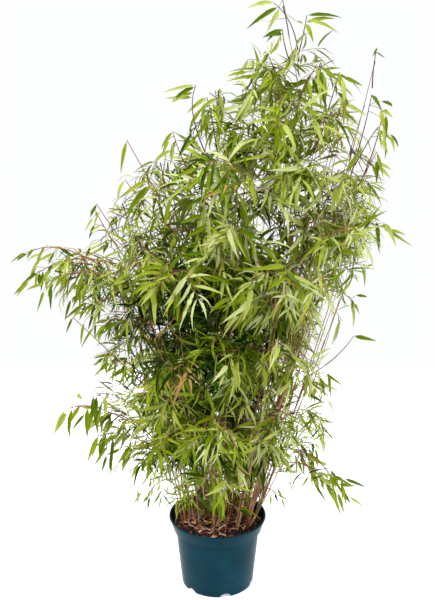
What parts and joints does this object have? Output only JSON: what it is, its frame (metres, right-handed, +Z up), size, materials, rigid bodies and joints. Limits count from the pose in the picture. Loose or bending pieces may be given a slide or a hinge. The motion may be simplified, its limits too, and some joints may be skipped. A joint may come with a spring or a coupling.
{
  "type": "potted bamboo",
  "caption": "Clump-forming garden bamboo with upright and arching canes and drooping sprays of narrow leaves, growing in a plain round nursery pot.",
  "frame": {"origin": "middle of the pot's flat underside, which is what the plant stands on", "axes": "+Z up, -Y towards the front of the plant, +X to its right as seen from the front"},
  "size_m": [1.0155, 0.782, 1.5325],
  "materials": {
    "pot_plastic": "smooth moulded plastic with a soft sheen",
    "bark_soil": "rough bark mulch over potting compost",
    "cane": "smooth cane with dull papery sheaths",
    "foliage": "matt leaf with a slight sheen"
  },
  "bodies": {
    "root": {"pot": "pot_plastic", "soil": "bark_soil", "cane_01": "cane", "cane_02": "cane", "cane_03": "cane", "cane_04": "cane", "cane_05": "cane", "cane_06": "cane", "cane_07": "cane", "cane_08": "cane", "cane_09": "cane", "cane_10": "cane", "cane_11": "cane", "cane_12": "cane", "cane_13": "cane", "cane_14": "cane", "cane_15": "cane", "cane_16": "cane", "cane_17": "cane", "cane_18": "cane", "cane_19": "cane", "cane_20": "cane", "foliage_01_tip": "foliage", "foliage_01_side_1": "foliage", "foliage_01_side_2": "foliage", "foliage_02_tip": "foliage", "foliage_02_side_1": "foliage", "foliage_03_tip": "foliage", "foliage_03_side_1": "foliage", "foliage_04_tip": "foliage", "foliage_04_side_1": "foliage", "foliage_05_tip": "foliage", "foliage_05_side_1": "foliage", "foliage_05_side_2": "foliage", "foliage_06_tip": "foliage", "foliage_06_side_1": "foliage", "foliage_07_tip": "foliage", "foliage_07_side_1": "foliage", "foliage_08_tip": "foliage", "foliage_08_side_1": "foliage", "foliage_09_tip": "foliage", "foliage_09_side_1": "foliage", "foliage_10_tip": "foliage", "foliage_10_side_1": "foliage", "foliage_11_tip": "foliage", "foliage_12_tip": "foliage", "foliage_12_side_1": "foliage", "foliage_13_tip": "foliage", "foliage_13_side_1": "foliage", "foliage_14_tip": "foliage", "foliage_14_side_1": "foliage", "foliage_15_tip": "foliage", "foliage_15_side_1": "foliage", "foliage_16_tip": "foliage", "foliage_17_tip": "foliage", "foliage_17_side_1": "foliage", "foliage_18_tip": "foliage", "foliage_18_side_1": "foliage", "foliage_19_tip": "foliage", "foliage_20_tip": "foliage"}
  },
  "joints": []
}
